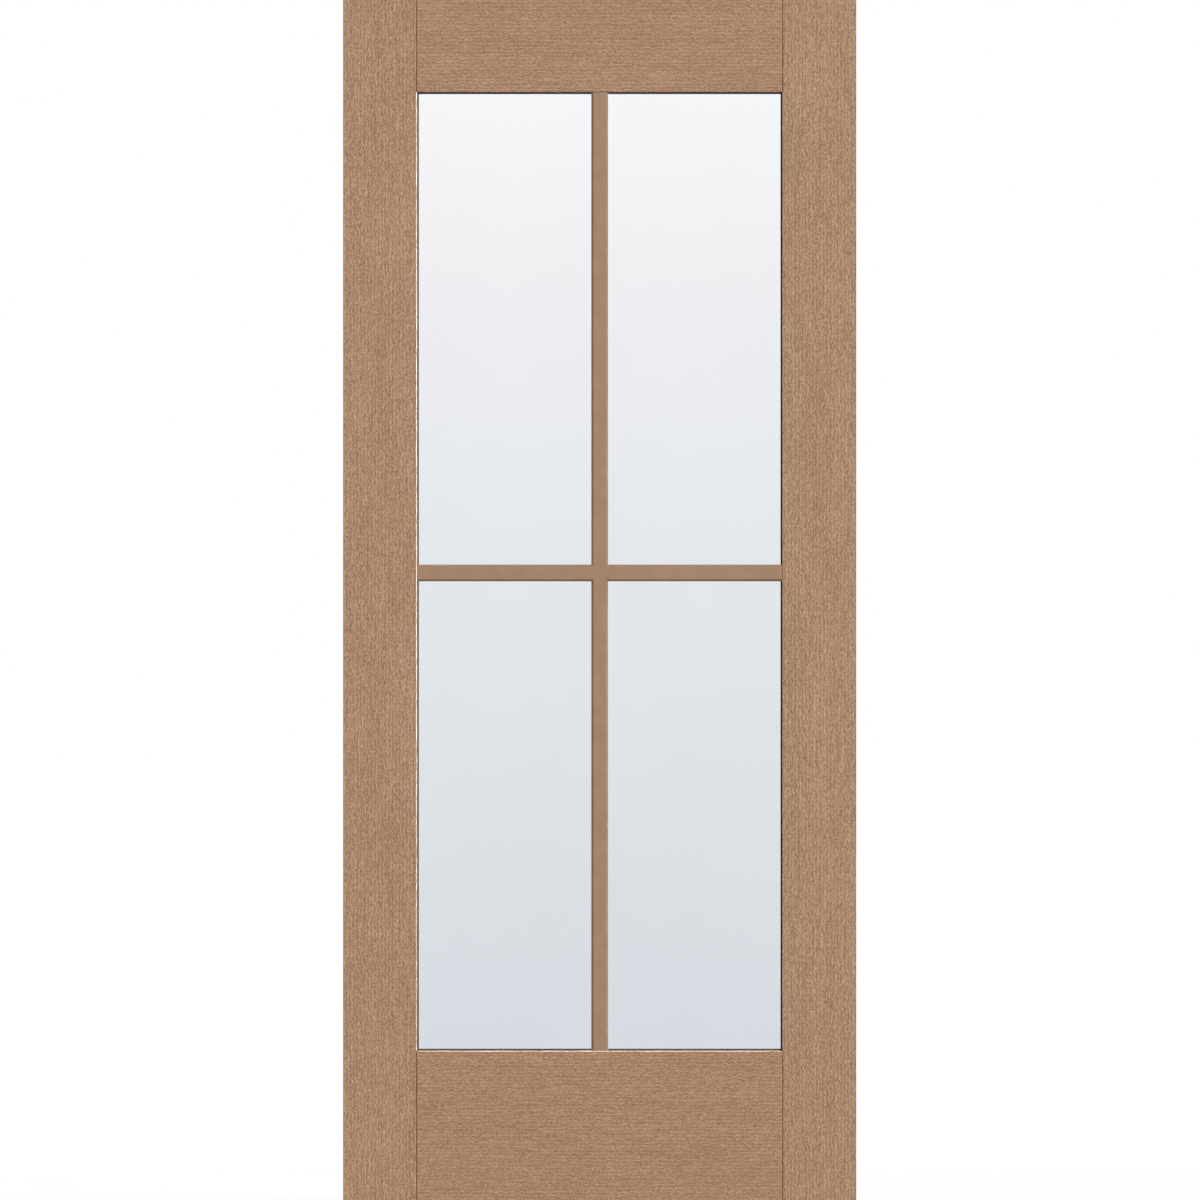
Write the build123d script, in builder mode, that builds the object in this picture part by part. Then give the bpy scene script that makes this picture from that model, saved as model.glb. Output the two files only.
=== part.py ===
from build123d import *
import os

# Fibreglass entrance door leaf with one tall lite that flat bars divide in four.
# Millimetres, +Z up. The origin is at the foot of the hinge edge, half way through the leaf.
# +X runs from the hinge edge to the lock edge, and the exterior face looks along -Y.

# The whole leaf
leaf_width = 857.25
leaf_height = 2006.6
leaf_thickness = 44.45

# Stiles and rails as they are moulded on the faces, with the V groove where they meet
stile_face = 122.0
top_rail_face = 153.3
bottom_rail_face = 248.9
joint_width = 1.6
joint_depth = 0.9

# Moulded skins: wall, outer arris, and the rounded arris and return of the lite opening
skin_wall = 2.4
outer_ease = 0.8
opening_round = 2.0
return_wall = 2.4

# Timber and composite members that close the four edges between the skins
edge_strip_width = 9.5
stile_core_width = 35.0
top_rail_height = 57.0
bottom_rail_height = 76.0

# Insulating glass unit, held between the returns of the two skins
unit_thickness = 25.4
pane_thickness = 3.2
unit_bite = 12.0
unit_edge_room = 3.0
sealant_width = 6.0
spacer_width = 7.0

# Glazing seals between the returns and the glass
seal_thickness = 1.6
seal_lip = 2.3
seal_lip_round = 0.8

# Bars on both faces of the glass
bar_width = 28.0
bar_bevel = 3.5
bar_set_back = 1.1
cross_bar_level = 1048.5
notch_gap = 0.3

# Flat tubes between the panes, in line with the bars and hidden behind them from the front
inner_bar_inset = 5.0
inner_bar_depth = 12.0
inner_bar_ease = 1.5
inner_bar_wall = 0.8

# Depths from the middle of the leaf
skin_face = leaf_thickness / 2
core_face = skin_face - skin_wall
glass_face = unit_thickness / 2
air_face = glass_face - pane_thickness
seal_face = glass_face + seal_thickness
bar_face = skin_face - bar_set_back
inner_bar_width = bar_width - 2 * inner_bar_inset

# The lite opening, measured between the walls of the returns
lite_low = bottom_rail_face + opening_round
lite_high = leaf_height - top_rail_face - opening_round
lite_width = leaf_width - 2 * (stile_face + opening_round)
lite_height = lite_high - lite_low
lite_x = leaf_width / 2
lite_z = (lite_low + lite_high) / 2
lite_centre = (lite_x, lite_z)

# Rectangles that are nested round the lite: return, glass unit, spacer and seal lip
return_size = (lite_width + 2 * return_wall, lite_height + 2 * return_wall)
unit_size = (lite_width + 2 * unit_bite, lite_height + 2 * unit_bite)
pocket_size = (unit_size[0] + 2 * unit_edge_room, unit_size[1] + 2 * unit_edge_room)
spacer_size = (unit_size[0] - 2 * sealant_width, unit_size[1] - 2 * sealant_width)
air_size = (spacer_size[0] - 2 * spacer_width, spacer_size[1] - 2 * spacer_width)
sight_size = (lite_width - 2 * seal_lip, lite_height - 2 * seal_lip)
notch_size = (sight_size[0] - 2 * notch_gap, sight_size[1] - 2 * notch_gap)

# The space inside the edge members, which the foam fills
member_width = edge_strip_width + stile_core_width
core_width = leaf_width - 2 * member_width
core_low = bottom_rail_height
core_high = leaf_height - top_rail_height
core_centre = (leaf_width / 2, (core_low + core_high) / 2)

# Mirror planes of the leaf
mid_plane = Plane.XZ
mid_width = Plane.YZ.offset(leaf_width / 2)


def plate(size, centre, outer_depth, inner_depth, hole=None):
    """A flat plate or ring, parallel to the faces of the leaf, between two depths."""
    with BuildPart() as sheet:
        with BuildSketch(Plane.XZ.offset(inner_depth)):
            with Locations(centre):
                Rectangle(*size)
                if hole:
                    Rectangle(*hole, mode=Mode.SUBTRACT)
        extrude(amount=outer_depth - inner_depth)
    return sheet


def edge_member(x_low, x_high, z_low, z_high):
    """A straight timber or composite piece that fills the space between the skins."""
    size = (x_high - x_low, z_high - z_low)
    centre = ((x_low + x_high) / 2, (z_low + z_high) / 2)
    return plate(size, centre, core_face, -core_face)


def twin(piece, plane):
    """The same piece on the other side of a mirror plane of the leaf."""
    with BuildPart() as other:
        mirror(piece.part, about=plane)
    return other


# Skin: a sheet with a return that turns in at the lite opening and stops on the seal.
# V grooves carry the edges of the stiles up and down through the rails.
with BuildPart() as exterior_skin:
    with BuildSketch(Plane.XZ.offset(core_face)):
        with Locations((leaf_width / 2, leaf_height / 2)):
            Rectangle(leaf_width, leaf_height)
        with Locations(lite_centre):
            Rectangle(lite_width, lite_height, mode=Mode.SUBTRACT)
    extrude(amount=skin_wall)
    with BuildSketch(Plane.XZ.offset(seal_face)):
        with Locations(lite_centre):
            Rectangle(*return_size)
            Rectangle(lite_width, lite_height, mode=Mode.SUBTRACT)
    extrude(amount=skin_face - seal_face)
    face = exterior_skin.faces().sort_by(Axis.Y)[0]
    fillet(face.inner_wires()[0].edges(), opening_round)
    face = exterior_skin.faces().sort_by(Axis.Y)[0]
    chamfer(face.outer_wire().edges(), outer_ease)
    for low, high in ((0, lite_low), (lite_high, leaf_height)):
        with BuildSketch(Plane.XY.offset(low)):
            for edge, towards_lite in ((stile_face, 1), (leaf_width - stile_face, -1)):
                with BuildLine():
                    Polyline(
                        (edge, -skin_face),
                        (edge + towards_lite * joint_width, -skin_face),
                        (edge + towards_lite * joint_width / 2, joint_depth - skin_face),
                        close=True,
                    )
                make_face()
        extrude(amount=high - low, mode=Mode.SUBTRACT)
interior_skin = twin(exterior_skin, mid_plane)

# Edge members: hardwood strips on laminated stiles, with the rails between the stiles
hinge_edge_strip = edge_member(0, edge_strip_width, 0, leaf_height)
hinge_stile = edge_member(edge_strip_width, member_width, 0, leaf_height)
lock_edge_strip = twin(hinge_edge_strip, mid_width)
lock_stile = twin(hinge_stile, mid_width)
top_rail = edge_member(member_width, leaf_width - member_width, core_high, leaf_height)
bottom_rail = edge_member(member_width, leaf_width - member_width, 0, core_low)

# Foam core: fills the leaf round the returns, with a channel for the edge of the glass unit
with BuildPart() as foam_core:
    with BuildSketch(Plane.XZ.offset(-core_face)):
        with Locations(core_centre):
            Rectangle(core_width, core_high - core_low)
        with Locations(lite_centre):
            Rectangle(*return_size, mode=Mode.SUBTRACT)
    extrude(amount=2 * core_face)
    with BuildSketch(Plane.XZ.offset(-seal_face)):
        with Locations(lite_centre):
            Rectangle(*pocket_size)
    extrude(amount=2 * seal_face, mode=Mode.SUBTRACT)

# Insulating glass unit: two panes on a spacer frame, closed by sealant round the edge
exterior_pane = plate(unit_size, lite_centre, glass_face, air_face)
interior_pane = twin(exterior_pane, mid_plane)
pane_spacer = plate(spacer_size, lite_centre, air_face, -air_face, air_size)
edge_sealant = plate(unit_size, lite_centre, air_face, -air_face, spacer_size)

# Glazing seal: a flat ring under the return, with a rounded lip that shows round the glass
with BuildPart() as exterior_glazing_seal:
    with BuildSketch(Plane.XZ.offset(glass_face)):
        with Locations(lite_centre):
            Rectangle(*unit_size)
            Rectangle(*sight_size, mode=Mode.SUBTRACT)
    extrude(amount=seal_thickness)
    face = exterior_glazing_seal.faces().sort_by(Axis.Y)[0]
    fillet(face.inner_wires()[0].edges(), seal_lip_round)
interior_glazing_seal = twin(exterior_glazing_seal, mid_plane)


# Bars on the glass: bevelled along both sides and notched over the seal lip at the walls.
# The cross bar is whole, and the upper and lower bars are coped to fit over its bevels.
def glass_bar(size, centre, along, crossing=None):
    """A bar that lies on the exterior pane, with its length along one axis."""
    with BuildPart() as bar:
        with BuildSketch(Plane.XZ.offset(glass_face)):
            with Locations(centre):
                Rectangle(*size)
        extrude(amount=bar_face - glass_face)
        front_edges = bar.edges().group_by(Axis.Y)[0]
        chamfer(front_edges.filter_by(along), bar_bevel)
        with BuildSketch(Plane.XZ.offset(glass_face)):
            with Locations(lite_centre):
                Rectangle(lite_width, lite_height)
                Rectangle(*notch_size, mode=Mode.SUBTRACT)
        extrude(amount=seal_thickness + notch_gap, mode=Mode.SUBTRACT)
        if crossing:
            add(crossing.part, mode=Mode.SUBTRACT)
    return bar


def coped_bar(wall_level):
    """An upright bar from the cross bar to the top or bottom wall of the lite."""
    size = (bar_width, abs(wall_level - cross_bar_level))
    centre = (lite_x, (wall_level + cross_bar_level) / 2)
    return glass_bar(size, centre, Axis.Z, exterior_cross_bar)


exterior_cross_bar = glass_bar((lite_width, bar_width), (lite_x, cross_bar_level), Axis.X)
exterior_upper_bar = coped_bar(lite_high)
exterior_lower_bar = coped_bar(lite_low)
interior_cross_bar = twin(exterior_cross_bar, mid_plane)
interior_upper_bar = twin(exterior_upper_bar, mid_plane)
interior_lower_bar = twin(exterior_lower_bar, mid_plane)


# Flat tubes between the panes: the upright ones butt on the cross tube and on the spacer
def inner_bar(size, centre, along):
    """A thin-walled tube with eased long edges, half way between the panes and open at its ends."""
    with BuildPart() as tube:
        with BuildSketch(Plane.XZ.offset(-inner_bar_depth / 2)):
            with Locations(centre):
                Rectangle(*size)
        extrude(amount=inner_bar_depth)
        chamfer(tube.edges().filter_by(along), inner_bar_ease)
        offset(amount=-inner_bar_wall, openings=tube.faces().filter_by(along))
    return tube


def inner_upright(cross_side, spacer_side):
    """A tube from the cross tube to the spacer."""
    size = (inner_bar_width, abs(spacer_side - cross_side))
    return inner_bar(size, (lite_x, (cross_side + spacer_side) / 2), Axis.Z)


inner_cross_bar = inner_bar((air_size[0], inner_bar_width), (lite_x, cross_bar_level), Axis.X)
inner_upper_bar = inner_upright(cross_bar_level + inner_bar_width / 2, lite_z + air_size[1] / 2)
inner_lower_bar = inner_upright(cross_bar_level - inner_bar_width / 2, lite_z - air_size[1] / 2)

# One file for each piece
pieces = {
    "exterior_skin": exterior_skin,
    "interior_skin": interior_skin,
    "hinge_edge_strip": hinge_edge_strip,
    "hinge_stile": hinge_stile,
    "lock_edge_strip": lock_edge_strip,
    "lock_stile": lock_stile,
    "top_rail": top_rail,
    "bottom_rail": bottom_rail,
    "foam_core": foam_core,
    "exterior_pane": exterior_pane,
    "interior_pane": interior_pane,
    "pane_spacer": pane_spacer,
    "edge_sealant": edge_sealant,
    "exterior_glazing_seal": exterior_glazing_seal,
    "interior_glazing_seal": interior_glazing_seal,
    "exterior_cross_bar": exterior_cross_bar,
    "exterior_upper_bar": exterior_upper_bar,
    "exterior_lower_bar": exterior_lower_bar,
    "interior_cross_bar": interior_cross_bar,
    "interior_upper_bar": interior_upper_bar,
    "interior_lower_bar": interior_lower_bar,
    "inner_cross_bar": inner_cross_bar,
    "inner_upper_bar": inner_upper_bar,
    "inner_lower_bar": inner_lower_bar,
}
os.makedirs("parts", exist_ok=True)
for name, piece in pieces.items():
    piece.part.label = name
    export_step(piece.part, f"parts/{name}.step")
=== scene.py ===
# Fibreglass entrance door leaf with a four-light glass: the finish of every piece, in a plain studio.
import math

import bmesh
import bpy
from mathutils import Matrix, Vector


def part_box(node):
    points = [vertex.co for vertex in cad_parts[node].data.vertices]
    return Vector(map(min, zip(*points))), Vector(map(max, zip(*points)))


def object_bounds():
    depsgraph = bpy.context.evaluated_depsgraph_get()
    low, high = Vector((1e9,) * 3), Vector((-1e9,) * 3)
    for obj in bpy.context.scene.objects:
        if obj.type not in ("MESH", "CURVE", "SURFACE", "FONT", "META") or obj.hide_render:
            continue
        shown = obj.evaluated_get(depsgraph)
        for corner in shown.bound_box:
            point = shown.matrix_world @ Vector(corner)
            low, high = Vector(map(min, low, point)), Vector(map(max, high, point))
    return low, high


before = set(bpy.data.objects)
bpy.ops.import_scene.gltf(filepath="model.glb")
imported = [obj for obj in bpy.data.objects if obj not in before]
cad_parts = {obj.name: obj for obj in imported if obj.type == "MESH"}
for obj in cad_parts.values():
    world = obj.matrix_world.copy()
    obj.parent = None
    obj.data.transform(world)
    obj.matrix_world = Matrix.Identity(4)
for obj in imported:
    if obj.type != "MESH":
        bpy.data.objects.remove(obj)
leaf_low, leaf_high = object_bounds()


# Laminated stiles and top rail: softwood veneers glued face to face and sawn into straight members.
# They close the leaf between the skins, so the sawn ends and the rail's top edge show.
def linear(colour):
    """The linear RGBA of an sRGB hex colour."""
    channels = [int(colour[place:place + 2], 16) / 255 for place in (1, 3, 5)]
    return [c / 12.92 if c <= 0.04045 else ((c + 0.055) / 1.055) ** 2.4 for c in channels] + [1.0]


def add_node(tree, kind, inputs=None, stops=(), **settings):
    """Adds a node with its settings, ramp stops and sockets. A node or an output in inputs is linked."""
    node = tree.nodes.new(kind)
    for name, value in settings.items():
        setattr(node, name, value)
    for socket, value in (inputs or {}).items():
        if isinstance(value, bpy.types.Node):
            value = value.outputs[0]
        if isinstance(value, bpy.types.NodeSocket):
            tree.links.new(value, node.inputs[socket])
        else:
            node.inputs[socket].default_value = value
    for place, (position, colour) in enumerate(stops):
        elements = node.color_ramp.elements
        stop = elements[place] if place < 2 else elements.new(position)
        stop.position = position
        stop.color = linear(colour)
    return node


def calculate(tree, operation, *values, **settings):
    """One step of arithmetic on numbers, nodes or outputs."""
    return add_node(tree, "ShaderNodeMath", dict(enumerate(values)), operation=operation, **settings)


def mix_colours(tree, share, first, second, **settings):
    """The colour output of a mix that takes this share of the second colour."""
    inputs = {0: share, 6: first, 7: second}
    return add_node(tree, "ShaderNodeMix", inputs, data_type="RGBA", **settings).outputs[2]


def per_metre(*sizes_mm):
    """Scales that give a pattern these sizes, in millimetres along X, Y and Z."""
    return [1000 / size for size in sizes_mm]


def noise(tree, place, sizes_mm, detail, **more):
    """A noise pattern of these sizes, in millimetres along X, Y and Z."""
    spread = add_node(tree, "ShaderNodeMapping", {"Vector": place, "Scale": per_metre(*sizes_mm)})
    inputs = {"Vector": spread, "Scale": 1.0, "Detail": detail, **more}
    return add_node(tree, "ShaderNodeTexNoise", inputs)


def new_material(name):
    """A new material, its empty node tree, and the object coordinates that its patterns read."""
    material = bpy.data.materials.new(name)
    material.use_nodes = True
    material.node_tree.nodes.clear()
    place = add_node(material.node_tree, "ShaderNodeTexCoord").outputs["Object"]
    return material, material.node_tree, place


def dress(material, surface, names):
    """Closes a material with its surface shader and puts it on pieces of the leaf."""
    add_node(material.node_tree, "ShaderNodeOutputMaterial", {"Surface": surface})
    for name in names:
        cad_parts[name].material_slots[0].material = material


# Veneer lumber gives the eye pale bands with thin dark glue lines, and a dull sawn grain.
veneer_mm = 3.2
layer_share = 0.35
fibre_mm = 1.4
fibre_length_mm = 55
wood_stops = [(0.35, "#8E6D47"), (0.65, "#B9966A"), (0.95, "#CDAE84")]
glue_stops = [(0.0, "#6A5A4C"), (0.08, "#FFFFFF"), (0.92, "#FFFFFF"), (1.0, "#6A5A4C")]
for name, fibre_sizes, members in (
    ("sawn_veneer_lumber_upright", (fibre_mm, fibre_mm, fibre_length_mm), ("hinge_stile", "lock_stile")),
    ("sawn_veneer_lumber_level", (fibre_length_mm, fibre_mm, fibre_mm), ("top_rail",)),
):
    lumber, tree, place = new_material(name)
    axes = add_node(tree, "ShaderNodeSeparateXYZ", {0: place})
    depth = calculate(tree, "MULTIPLY", axes.outputs["Y"], 1000 / veneer_mm)
    layer = calculate(tree, "FLOOR", depth)
    layer_tone = add_node(tree, "ShaderNodeTexWhiteNoise", {"W": layer}, noise_dimensions="1D")
    fibres = noise(tree, place, fibre_sizes, 3.0)
    tone = calculate(tree, "MULTIPLY_ADD", layer_tone, layer_share, fibres)
    wood = add_node(tree, "ShaderNodeValToRGB", {"Fac": tone}, wood_stops)
    in_layer = calculate(tree, "FRACT", depth)
    glue = add_node(tree, "ShaderNodeValToRGB", {"Fac": in_layer}, glue_stops)
    colour = mix_colours(tree, 1.0, wood, glue, blend_type="MULTIPLY")
    relief = add_node(tree, "ShaderNodeBump", {"Height": fibres, "Strength": 0.4, "Distance": 0.0003})
    surface = add_node(
        tree, "ShaderNodeBsdfPrincipled", {"Base Color": colour, "Roughness": 0.8, "Normal": relief}
    )
    dress(lumber, surface, members)


# Edge strips: clear hardwood, planed and glued to the stiles, stained to go with the skins.
# They are the two long edges of the leaf, where hinges and a latch are let in.
# Stained oak gives the eye long straight figure with short dark pores, and a soft low gloss.
oak, tree, place = new_material("planed_stained_oak")
figure_mm = (6, 5, 210)
# Real pores are about 0.3 mm wide. They are drawn three times as wide to show.
pore_mm = (0.9, 0.9, 16)
figure = noise(tree, place, figure_mm, 4.0, Roughness=0.6, Distortion=0.4)
pores = noise(tree, place, pore_mm, 1.0)
figure_stops = [(0.3, "#8A6443"), (0.5, "#A67E58"), (0.7, "#B9936C")]
figure_colour = add_node(tree, "ShaderNodeValToRGB", {"Fac": figure}, figure_stops)
pore_stops = [(0.3, "#A58B74"), (0.42, "#FFFFFF")]
pore_colour = add_node(tree, "ShaderNodeValToRGB", {"Fac": pores}, pore_stops)
colour = mix_colours(tree, 1.0, figure_colour, pore_colour, blend_type="MULTIPLY")
gloss = add_node(tree, "ShaderNodeMapRange", {"Value": figure, "To Min": 0.62, "To Max": 0.46})
relief = add_node(tree, "ShaderNodeBump", {"Height": pores, "Strength": 0.35, "Distance": 0.0003})
surface = add_node(
    tree, "ShaderNodeBsdfPrincipled", {"Base Color": colour, "Roughness": gloss, "Normal": relief}
)
dress(oak, surface, ("hinge_edge_strip", "lock_edge_strip"))


# Bottom rail: wood flour and plastic, extruded as a solid bar that water can't rot.
# It closes the foot of the leaf between the stiles.
# The composite gives the eye a dull grey-brown with fine paler flecks.
composite, tree, place = new_material("extruded_wood_composite")
shade_mm = (30, 9, 9)
fleck_mm = (5, 1.6, 1.6)
shades = noise(tree, place, shade_mm, 4.0)
flecks = noise(tree, place, fleck_mm, 1.0)
shade_colour = add_node(
    tree, "ShaderNodeValToRGB", {"Fac": shades}, [(0.3, "#5B534B"), (0.7, "#6F665C")]
)
fleck_share = add_node(tree, "ShaderNodeMapRange", {"Value": flecks, "From Min": 0.58, "From Max": 0.7})
colour = mix_colours(tree, fleck_share, shade_colour, linear("#93877A"))
relief = add_node(tree, "ShaderNodeBump", {"Height": flecks, "Strength": 0.3, "Distance": 0.0002})
surface = add_node(
    tree, "ShaderNodeBsdfPrincipled", {"Base Color": colour, "Roughness": 0.7, "Normal": relief}
)
dress(composite, surface, ("bottom_rail",))


# Foam core: polyurethane poured between the skins, where it sets and glues the leaf together.
# Cut foam gives the eye a pale cream full of tiny cells, with no gloss.
foam, tree, place = new_material("poured_polyurethane_foam")
cell_mm = (1.2, 1.2, 1.2)
cell_place = add_node(tree, "ShaderNodeMapping", {"Vector": place, "Scale": per_metre(*cell_mm)})
cells = add_node(tree, "ShaderNodeTexVoronoi", {"Vector": cell_place, "Scale": 1.0})
colour = add_node(
    tree, "ShaderNodeValToRGB", {"Fac": cells}, [(0.1, "#C9B77F"), (0.8, "#E6D9AE")]
)
relief = add_node(tree, "ShaderNodeBump", {"Height": cells, "Strength": 0.6, "Distance": 0.0004})
surface = add_node(
    tree, "ShaderNodeBsdfPrincipled", {"Base Color": colour, "Roughness": 0.95, "Normal": relief}
)
dress(foam, surface, ("foam_core",))


# Skins: glass-fibre sheet moulding compound, pressed hot in a die that has the grain of wood in it.
# One is glued on each face, and stiles and rails are moulded on it with a V joint between them.
lite_low = Vector((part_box("exterior_cross_bar")[0].x, 0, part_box("exterior_lower_bar")[0].z))
lite_high = Vector((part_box("exterior_cross_bar")[1].x, 0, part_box("exterior_upper_bar")[1].z))
lite_middle = (lite_low + lite_high) / 2
half_lite = (lite_high.z - lite_low.z) / 2
opening_round = 0.002
joint_width = 0.0016
joint_from_middle = (lite_high.x - lite_low.x - joint_width) / 2 + opening_round

# The stained moulding gives the eye short dense ticks, fine streaks and wavering lines in warm tan,
# up the stiles and along the rails. The relief is shallow, with darker stain in it, and the sheen is low.
skin, tree, place = new_material("stained_grained_moulding")
axes = add_node(tree, "ShaderNodeSeparateXYZ", {0: place})
sideways = calculate(tree, "SUBTRACT", axes.outputs["X"], lite_middle.x)
from_middle = calculate(tree, "ABSOLUTE", sideways)
past_joint = calculate(tree, "GREATER_THAN", from_middle, joint_from_middle)
beside_lite = calculate(tree, "COMPARE", axes.outputs["Z"], lite_middle.z, half_lite)
on_stile = calculate(tree, "MAXIMUM", past_joint, beside_lite)
on_rail = calculate(tree, "SUBTRACT", 1.0, on_stile)
near_joint = calculate(tree, "COMPARE", from_middle, joint_from_middle, joint_width / 2)
in_joint = calculate(tree, "SUBTRACT", near_joint, beside_lite, use_clamp=True)

# Moulded ticks are about 0.5 mm wide on such a skin. They are drawn coarser, as wide as they show.
tick_mm = (1.2, 6.0, 3.2)
streak_mm = (1.2, 6.0, 60.0)
cloud_mm = (30.0, 30.0, 240.0)
line_pitch_mm = 5.9
line_mm = (line_pitch_mm * 10 / math.pi, 60.0, 33.0)
streak_share = 0.25
line_share = 0.14
cloud_share = 0.1
rail_stain_share = 0.2
turned = add_node(
    tree,
    "ShaderNodeCombineXYZ",
    {"X": axes.outputs["Z"], "Y": axes.outputs["Y"], "Z": axes.outputs["X"]},
)
grain_place = add_node(
    tree, "ShaderNodeMix", {0: on_stile, 4: turned, 5: place}, data_type="VECTOR"
).outputs[1]
ticks = noise(tree, grain_place, tick_mm, 0.0)
streaks = noise(tree, grain_place, streak_mm, 0.0)
clouds = noise(tree, grain_place, cloud_mm, 2.0)
line_place = add_node(tree, "ShaderNodeMapping", {"Vector": grain_place, "Scale": per_metre(*line_mm)})
# The wave repeats every pi / 10 of its own unit, and its noise makes the lines waver and break.
lines = add_node(
    tree,
    "ShaderNodeTexWave",
    {"Vector": line_place, "Scale": 1.0, "Distortion": 3.5, "Detail": 0.0, "Detail Scale": 4.0},
).outputs["Fac"]
grain = add_node(tree, "ShaderNodeMix", {0: streak_share, 2: ticks, 3: streaks})
grain = add_node(tree, "ShaderNodeMix", {0: line_share, 2: grain, 3: lines})
tone = add_node(tree, "ShaderNodeMix", {0: cloud_share, 2: grain, 3: clouds})
grain_stops = [(0.3, "#744F2F"), (0.5, "#9F734C"), (0.7, "#C39D75")]
stain = add_node(tree, "ShaderNodeValToRGB", {"Fac": tone}, grain_stops)
# The rails took the stain a little darker than the stiles, and more evenly.
rail_share = calculate(tree, "MULTIPLY", on_rail, rail_stain_share)
stain = mix_colours(tree, rail_share, stain, linear("#936235"))
colour = mix_colours(tree, in_joint, stain, linear("#6B4C33"))
gloss = add_node(tree, "ShaderNodeMapRange", {"Value": grain, "To Min": 0.62, "To Max": 0.42})
relief = add_node(tree, "ShaderNodeBump", {"Height": grain, "Strength": 0.5, "Distance": 0.0004})
surface = add_node(
    tree,
    "ShaderNodeBsdfPrincipled",
    {
        "Base Color": colour,
        "Roughness": gloss,
        "Normal": relief,
        "Specular IOR Level": 0.2,
        "Coat Weight": 1.0,
        "Coat Roughness": 0.15,
        "Coat IOR": 1.6,
    },
)
dress(skin, surface, ("exterior_skin", "interior_skin"))


# Spacer: a box section of dark plastic, extruded and joined into a frame that holds the panes apart.
# Its open face lets the drying grains inside reach the air, through a row of slots.
# The plastic gives the eye a dull dark grey face, with a fine dotted line of painted shade where the slots
# are.
spacer, tree, place = new_material("extruded_dark_plastic")
slot_pitch_mm = 4.0
slot_share = 0.4
slot_row = 0.0004
die_line_mm = (40, 0.8, 40)
axes = add_node(tree, "ShaderNodeSeparateXYZ", {0: place})
along = calculate(tree, "ADD", axes.outputs["X"], axes.outputs["Z"])
pitches = calculate(tree, "MULTIPLY", along, 1000 / slot_pitch_mm)
in_pitch = calculate(tree, "FRACT", pitches)
slot_length = calculate(tree, "LESS_THAN", in_pitch, slot_share)
slot_width = calculate(tree, "COMPARE", axes.outputs["Y"], 0.0, slot_row)
painted_slot_shade = calculate(tree, "MULTIPLY", slot_length, slot_width)
die_lines = noise(tree, place, die_line_mm, 2.0)
plastic = add_node(
    tree, "ShaderNodeValToRGB", {"Fac": die_lines}, [(0.3, "#262628"), (0.7, "#2D2D2F")]
)
# The slots are painted shade: a near-black line of dots on the flat face.
colour = mix_colours(tree, painted_slot_shade, plastic, linear("#0E0E0F"))
gloss = add_node(tree, "ShaderNodeMapRange", {"Value": die_lines, "To Min": 0.5, "To Max": 0.65})
surface = add_node(tree, "ShaderNodeBsdfPrincipled", {"Base Color": colour, "Roughness": gloss})
dress(spacer, surface, ("pane_spacer",))


# Edge sealant: black polysulphide, gunned into the channel round the spacer, where it cures to rubber.
# It gives the eye a dull black with soft ripples left by the trowel.
sealant, tree, place = new_material("cured_polysulphide")
ripple_mm = (12, 5, 12)
ripples = noise(tree, place, ripple_mm, 2.0)
colour = add_node(
    tree, "ShaderNodeValToRGB", {"Fac": ripples}, [(0.3, "#1B1B1C"), (0.7, "#272728")]
)
relief = add_node(tree, "ShaderNodeBump", {"Height": ripples, "Strength": 0.5, "Distance": 0.0006})
surface = add_node(
    tree, "ShaderNodeBsdfPrincipled", {"Base Color": colour, "Roughness": 0.6, "Normal": relief}
)
dress(sealant, surface, ("edge_sealant",))


# Tubes between the panes: roll-formed aluminium, painted to match the bars and plugged to the spacer.
# Seen at a slant they make the bars look as if they went right through the glass.
# Baked paint gives the eye an even tan with a satin gloss and faint marks from the rolls.
tube_paint, tree, place = new_material("baked_paint_on_aluminium")
roll_mark_mm = (9, 3, 9)
roll_marks = noise(tree, place, roll_mark_mm, 2.0)
colour = add_node(
    tree, "ShaderNodeValToRGB", {"Fac": roll_marks}, [(0.3, "#967659"), (0.7, "#A08063")]
)
gloss = add_node(tree, "ShaderNodeMapRange", {"Value": roll_marks, "To Min": 0.38, "To Max": 0.5})
surface = add_node(tree, "ShaderNodeBsdfPrincipled", {"Base Color": colour, "Roughness": gloss})
dress(tube_paint, surface, ("inner_cross_bar", "inner_upper_bar", "inner_lower_bar"))


# Panes: clear float glass, cut and tempered, one on each side of the spacer.
# Lamps shine through them, so they cast no shadow of their own.
# Float glass gives the eye sharp pale reflections and a trace of green.
glass, tree, place = new_material("clear_float_glass")
film_mm = (220, 220, 320)
film = noise(tree, place, film_mm, 2.0)
colour = add_node(
    tree, "ShaderNodeValToRGB", {"Fac": film}, [(0.3, "#FBFCFC"), (0.7, "#FCFDFD")]
)
surface = add_node(
    tree,
    "ShaderNodeBsdfPrincipled",
    {"Base Color": colour, "Roughness": 0.0, "IOR": 1.52, "Transmission Weight": 1.0},
)
panes = ("exterior_pane", "interior_pane")
dress(glass, surface, panes)
for name in panes:
    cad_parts[name].visible_shadow = False


# Glazing seals: a dark foam tape under the return of each skin, with its edge pressed out as a lip.
# It beds the glass and keeps water out.
# The rubber gives the eye a dark brown line with a soft dull edge.
seal, tree, place = new_material("pressed_dark_rubber")
pit_mm = (2.5, 2.5, 2.5)
pits = noise(tree, place, pit_mm, 2.0)
colour = add_node(
    tree, "ShaderNodeValToRGB", {"Fac": pits}, [(0.3, "#483E36"), (0.7, "#544A41")]
)
gloss = add_node(tree, "ShaderNodeMapRange", {"Value": pits, "To Min": 0.6, "To Max": 0.8})
relief = add_node(tree, "ShaderNodeBump", {"Height": pits, "Strength": 0.3, "Distance": 0.0002})
surface = add_node(
    tree,
    "ShaderNodeBsdfPrincipled",
    {"Base Color": colour, "Roughness": gloss, "Normal": relief, "Specular IOR Level": 0.1},
)
dress(seal, surface, ("exterior_glazing_seal", "interior_glazing_seal"))


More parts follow.
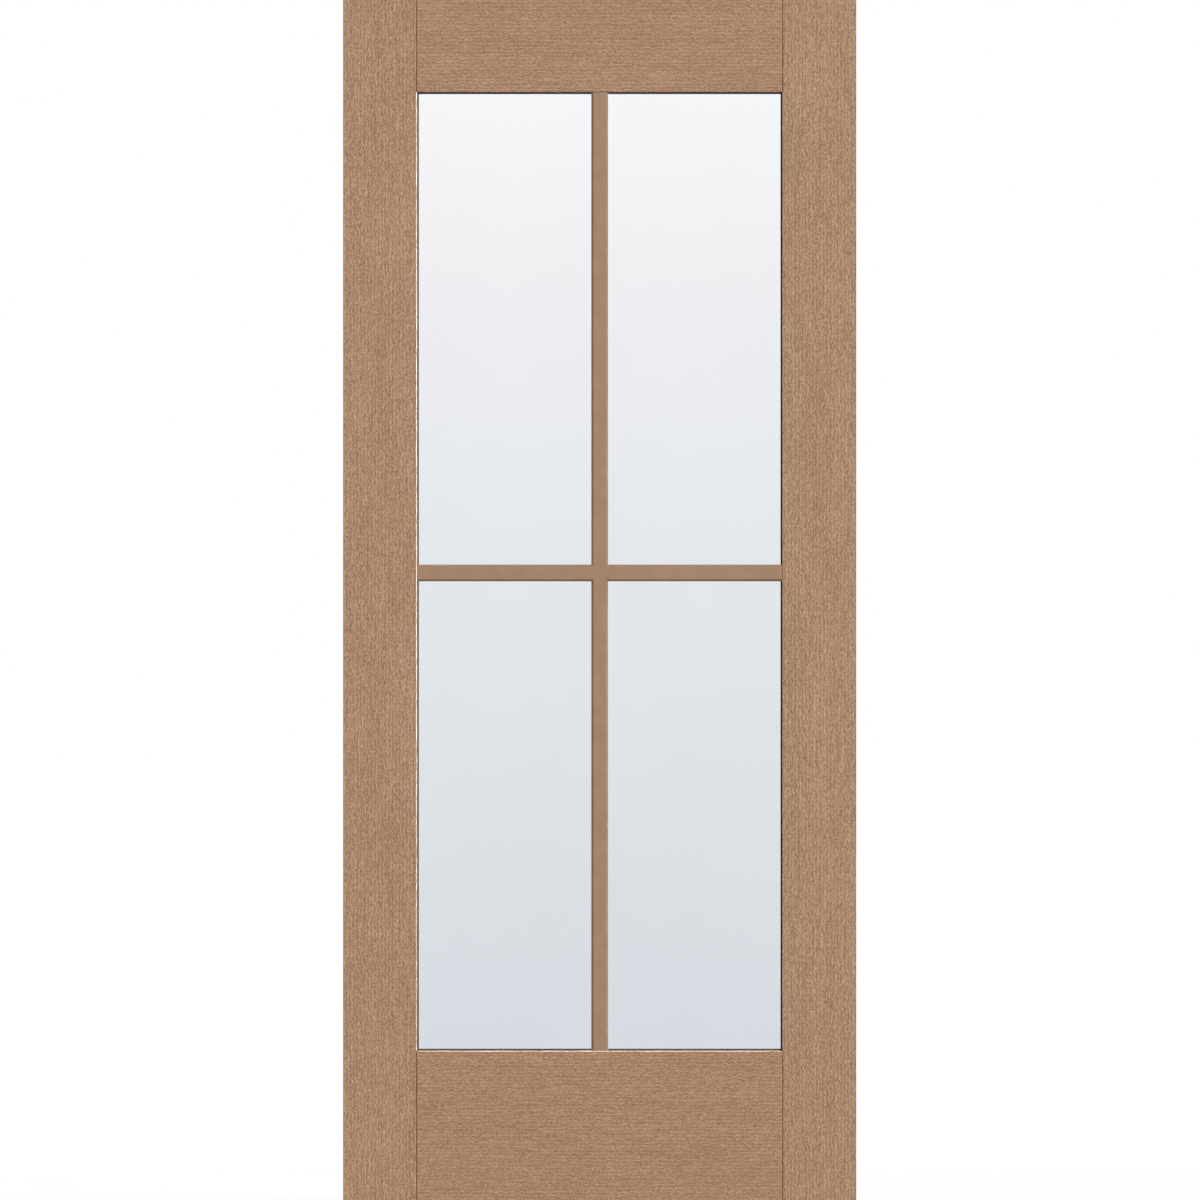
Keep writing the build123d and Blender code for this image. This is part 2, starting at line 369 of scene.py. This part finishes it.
# Bars on the glass: bevelled flat strips, extruded and finished in the colour of the skin, without grain.
# The cross bar is whole, the upright ones are coped over it, and all are bedded on the panes.
# The film gives the eye a smooth even tan with a satin gloss and the faintest orange peel.
bar_finish, tree, place = new_material("satin_film_on_extrusion")
peel_mm = (1.8, 1.8, 1.8)
mottle_mm = (24, 24, 24)
peel = noise(tree, place, peel_mm, 1.0)
mottle = noise(tree, place, mottle_mm, 2.0)
colour = add_node(
    tree, "ShaderNodeValToRGB", {"Fac": mottle}, [(0.3, "#99785E"), (0.7, "#A18066")]
)
gloss = add_node(tree, "ShaderNodeMapRange", {"Value": mottle, "To Min": 0.4, "To Max": 0.5})
relief = add_node(tree, "ShaderNodeBump", {"Height": peel, "Strength": 0.1, "Distance": 0.0001})
surface = add_node(
    tree,
    "ShaderNodeBsdfPrincipled",
    {"Base Color": colour, "Roughness": gloss, "Normal": relief, "Specular IOR Level": 0.3},
)
bars = [
    f"{side}_{bar}"
    for side in ("exterior", "interior")
    for bar in ("cross_bar", "upper_bar", "lower_bar")
]
dress(bar_finish, surface, bars)


# Studio floor: a wide pale sheet that the leaf stands on. It shows the leaf's shadow near by,
# and runs out to plain white.
floor_radius = 120.0
floor_drop = 0.0005
shadow_near = 1.0
shadow_reach = 5.0
shadow_share = 0.12
board_white = 1.02
mesh = bpy.data.meshes.new("studio_floor")
bm = bmesh.new()
bmesh.ops.create_circle(bm, cap_ends=True, radius=floor_radius, segments=64)
bmesh.ops.translate(bm, verts=bm.verts, vec=(lite_middle.x, 0, -floor_drop))
bm.to_mesh(mesh)
bm.free()
floor = bpy.data.objects.new("studio_floor", mesh)
bpy.context.scene.collection.objects.link(floor)


def direct_look(tree, rays):
    """1 for a camera or glossy ray that no dull surface has scattered on its way, and 0 for the rest."""
    sharp = calculate(tree, "MAXIMUM", rays.outputs["Is Camera Ray"], rays.outputs["Is Glossy Ray"])
    return calculate(tree, "SUBTRACT", sharp, rays.outputs["Diffuse Depth"], use_clamp=True)


# Painted board gives the eye plain white, and a pale grey where the light is kept from it.
board, tree, place = new_material("painted_board")
rays = add_node(tree, "ShaderNodeLightPath")
looking = direct_look(tree, rays)
centred = add_node(tree, "ShaderNodeMapping", {"Vector": place, "Location": (-lite_middle.x, 0, 0)})
reach = add_node(tree, "ShaderNodeVectorMath", {0: centred}, operation="LENGTH").outputs["Value"]
whiteness = add_node(
    tree,
    "ShaderNodeMapRange",
    {
        "Value": reach,
        "From Min": shadow_near,
        "From Max": shadow_reach,
        "To Min": 1 - shadow_share,
        "To Max": 1.0,
    },
)
share = calculate(tree, "MULTIPLY", looking, whiteness)
paint = mix_colours(tree, looking, linear("#6A6A6A"), linear("#FFFFFF"))
diffuse = add_node(tree, "ShaderNodeBsdfDiffuse", {"Color": paint})
white = add_node(tree, "ShaderNodeEmission", {"Color": linear("#FFFFFF"), "Strength": board_white})
surface = add_node(tree, "ShaderNodeMixShader", {0: share, 1: diffuse, 2: white})
add_node(tree, "ShaderNodeOutputMaterial", {"Surface": surface})
mesh.materials.append(board)
floor.visible_transmission = False


# Studio light: a soft even room that is white to the eye and in reflections.
# Through the glass it is paler above than below.
room_level = 0.12
through_stops = [(0.0, "#D8DCE3"), (0.56, "#EAECF0"), (0.84, "#F6F4F7"), (1.0, "#FCFBFD")]
through_reach = 0.019
world = bpy.data.worlds.new("studio_room")
world.use_nodes = True
tree = world.node_tree
tree.nodes.clear()
rays = add_node(tree, "ShaderNodeLightPath")
looking = direct_look(tree, rays)
direction = add_node(tree, "ShaderNodeTexCoord").outputs["Generated"]
height = add_node(tree, "ShaderNodeSeparateXYZ", {0: direction}).outputs["Z"]
level = add_node(
    tree,
    "ShaderNodeMapRange",
    {"Value": height, "From Min": -through_reach, "From Max": through_reach},
)
through = add_node(tree, "ShaderNodeValToRGB", {"Fac": level}, through_stops)
soft_room = add_node(tree, "ShaderNodeBackground", {"Color": linear("#FFFFFF"), "Strength": room_level})
white_room = add_node(tree, "ShaderNodeBackground", {"Color": linear("#FFFFFF"), "Strength": 1.0})
room_through_glass = add_node(tree, "ShaderNodeBackground", {"Color": through, "Strength": 1.0})
seen = add_node(tree, "ShaderNodeMixShader", {0: looking, 1: soft_room, 2: white_room})
through_glass = calculate(
    tree, "SUBTRACT", rays.outputs["Is Transmission Ray"], rays.outputs["Diffuse Depth"], use_clamp=True
)
room = add_node(tree, "ShaderNodeMixShader", {0: through_glass, 1: seen, 2: room_through_glass})
add_node(tree, "ShaderNodeOutputWorld", {"Surface": room})
bpy.context.scene.world = world

# A soft key lamp lights each face from above and to the right. At level 1 a colour that faces a lamp
# shows as it is written.
leaf_middle = (leaf_low + leaf_high) / 2
for name, towards, level, distance, width, height in (
    ("key_lamp", Vector((0.36, -0.88, 0.31)), 0.93, 60.0, 12.0, 12.0),
    ("back_lamp", Vector((-0.36, 0.88, 0.31)), 0.93, 60.0, 12.0, 12.0),
    ("side_strip", Vector((0.8, -0.6, 0.0)), 0.85, 100.0, 40.0, 5.0),
    ("upper_strip", Vector((0.0, -0.8, 0.6)), 0.4, 100.0, 3.5, 40.0),
):
    light = bpy.data.lights.new(name, "AREA")
    light.shape = "RECTANGLE"
    light.size = width
    light.size_y = height
    light.energy = level * (math.pi * distance) ** 2
    lamp = bpy.data.objects.new(name, light)
    lamp.location = leaf_middle + distance * towards
    lamp.rotation_euler = (-towards).to_track_quat("-Z", "Y").to_euler()
    lamp.visible_camera = False
    lamp.visible_transmission = False
    # The far strips only draw the thin highlights on rounded edges, and the back lamp draws none.
    lamp.visible_diffuse = "strip" not in name
    lamp.visible_glossy = name != "back_lamp"
    bpy.context.scene.collection.objects.link(lamp)


# Camera: a long lens straight in front of the exterior face, which fills the height of the frame.
# It stands half a millimetre to the right, because the photo's leaf lies a quarter of a pixel to the left.
lens_mm = 800
sensor_mm = 36
frame_height = 2.0045
camera_shift = 0.0005
camera_distance = frame_height * lens_mm / sensor_mm
camera_data = bpy.data.cameras.new("camera")
camera_data.lens = lens_mm
camera_data.sensor_width = sensor_mm
camera = bpy.data.objects.new("camera", camera_data)
camera.location = (leaf_middle.x + camera_shift, leaf_low.y - camera_distance, leaf_middle.z)
camera.rotation_euler = (math.pi / 2, 0, 0)
bpy.context.scene.collection.objects.link(camera)
bpy.context.scene.camera = camera
bpy.context.scene.view_settings.view_transform = "Standard"
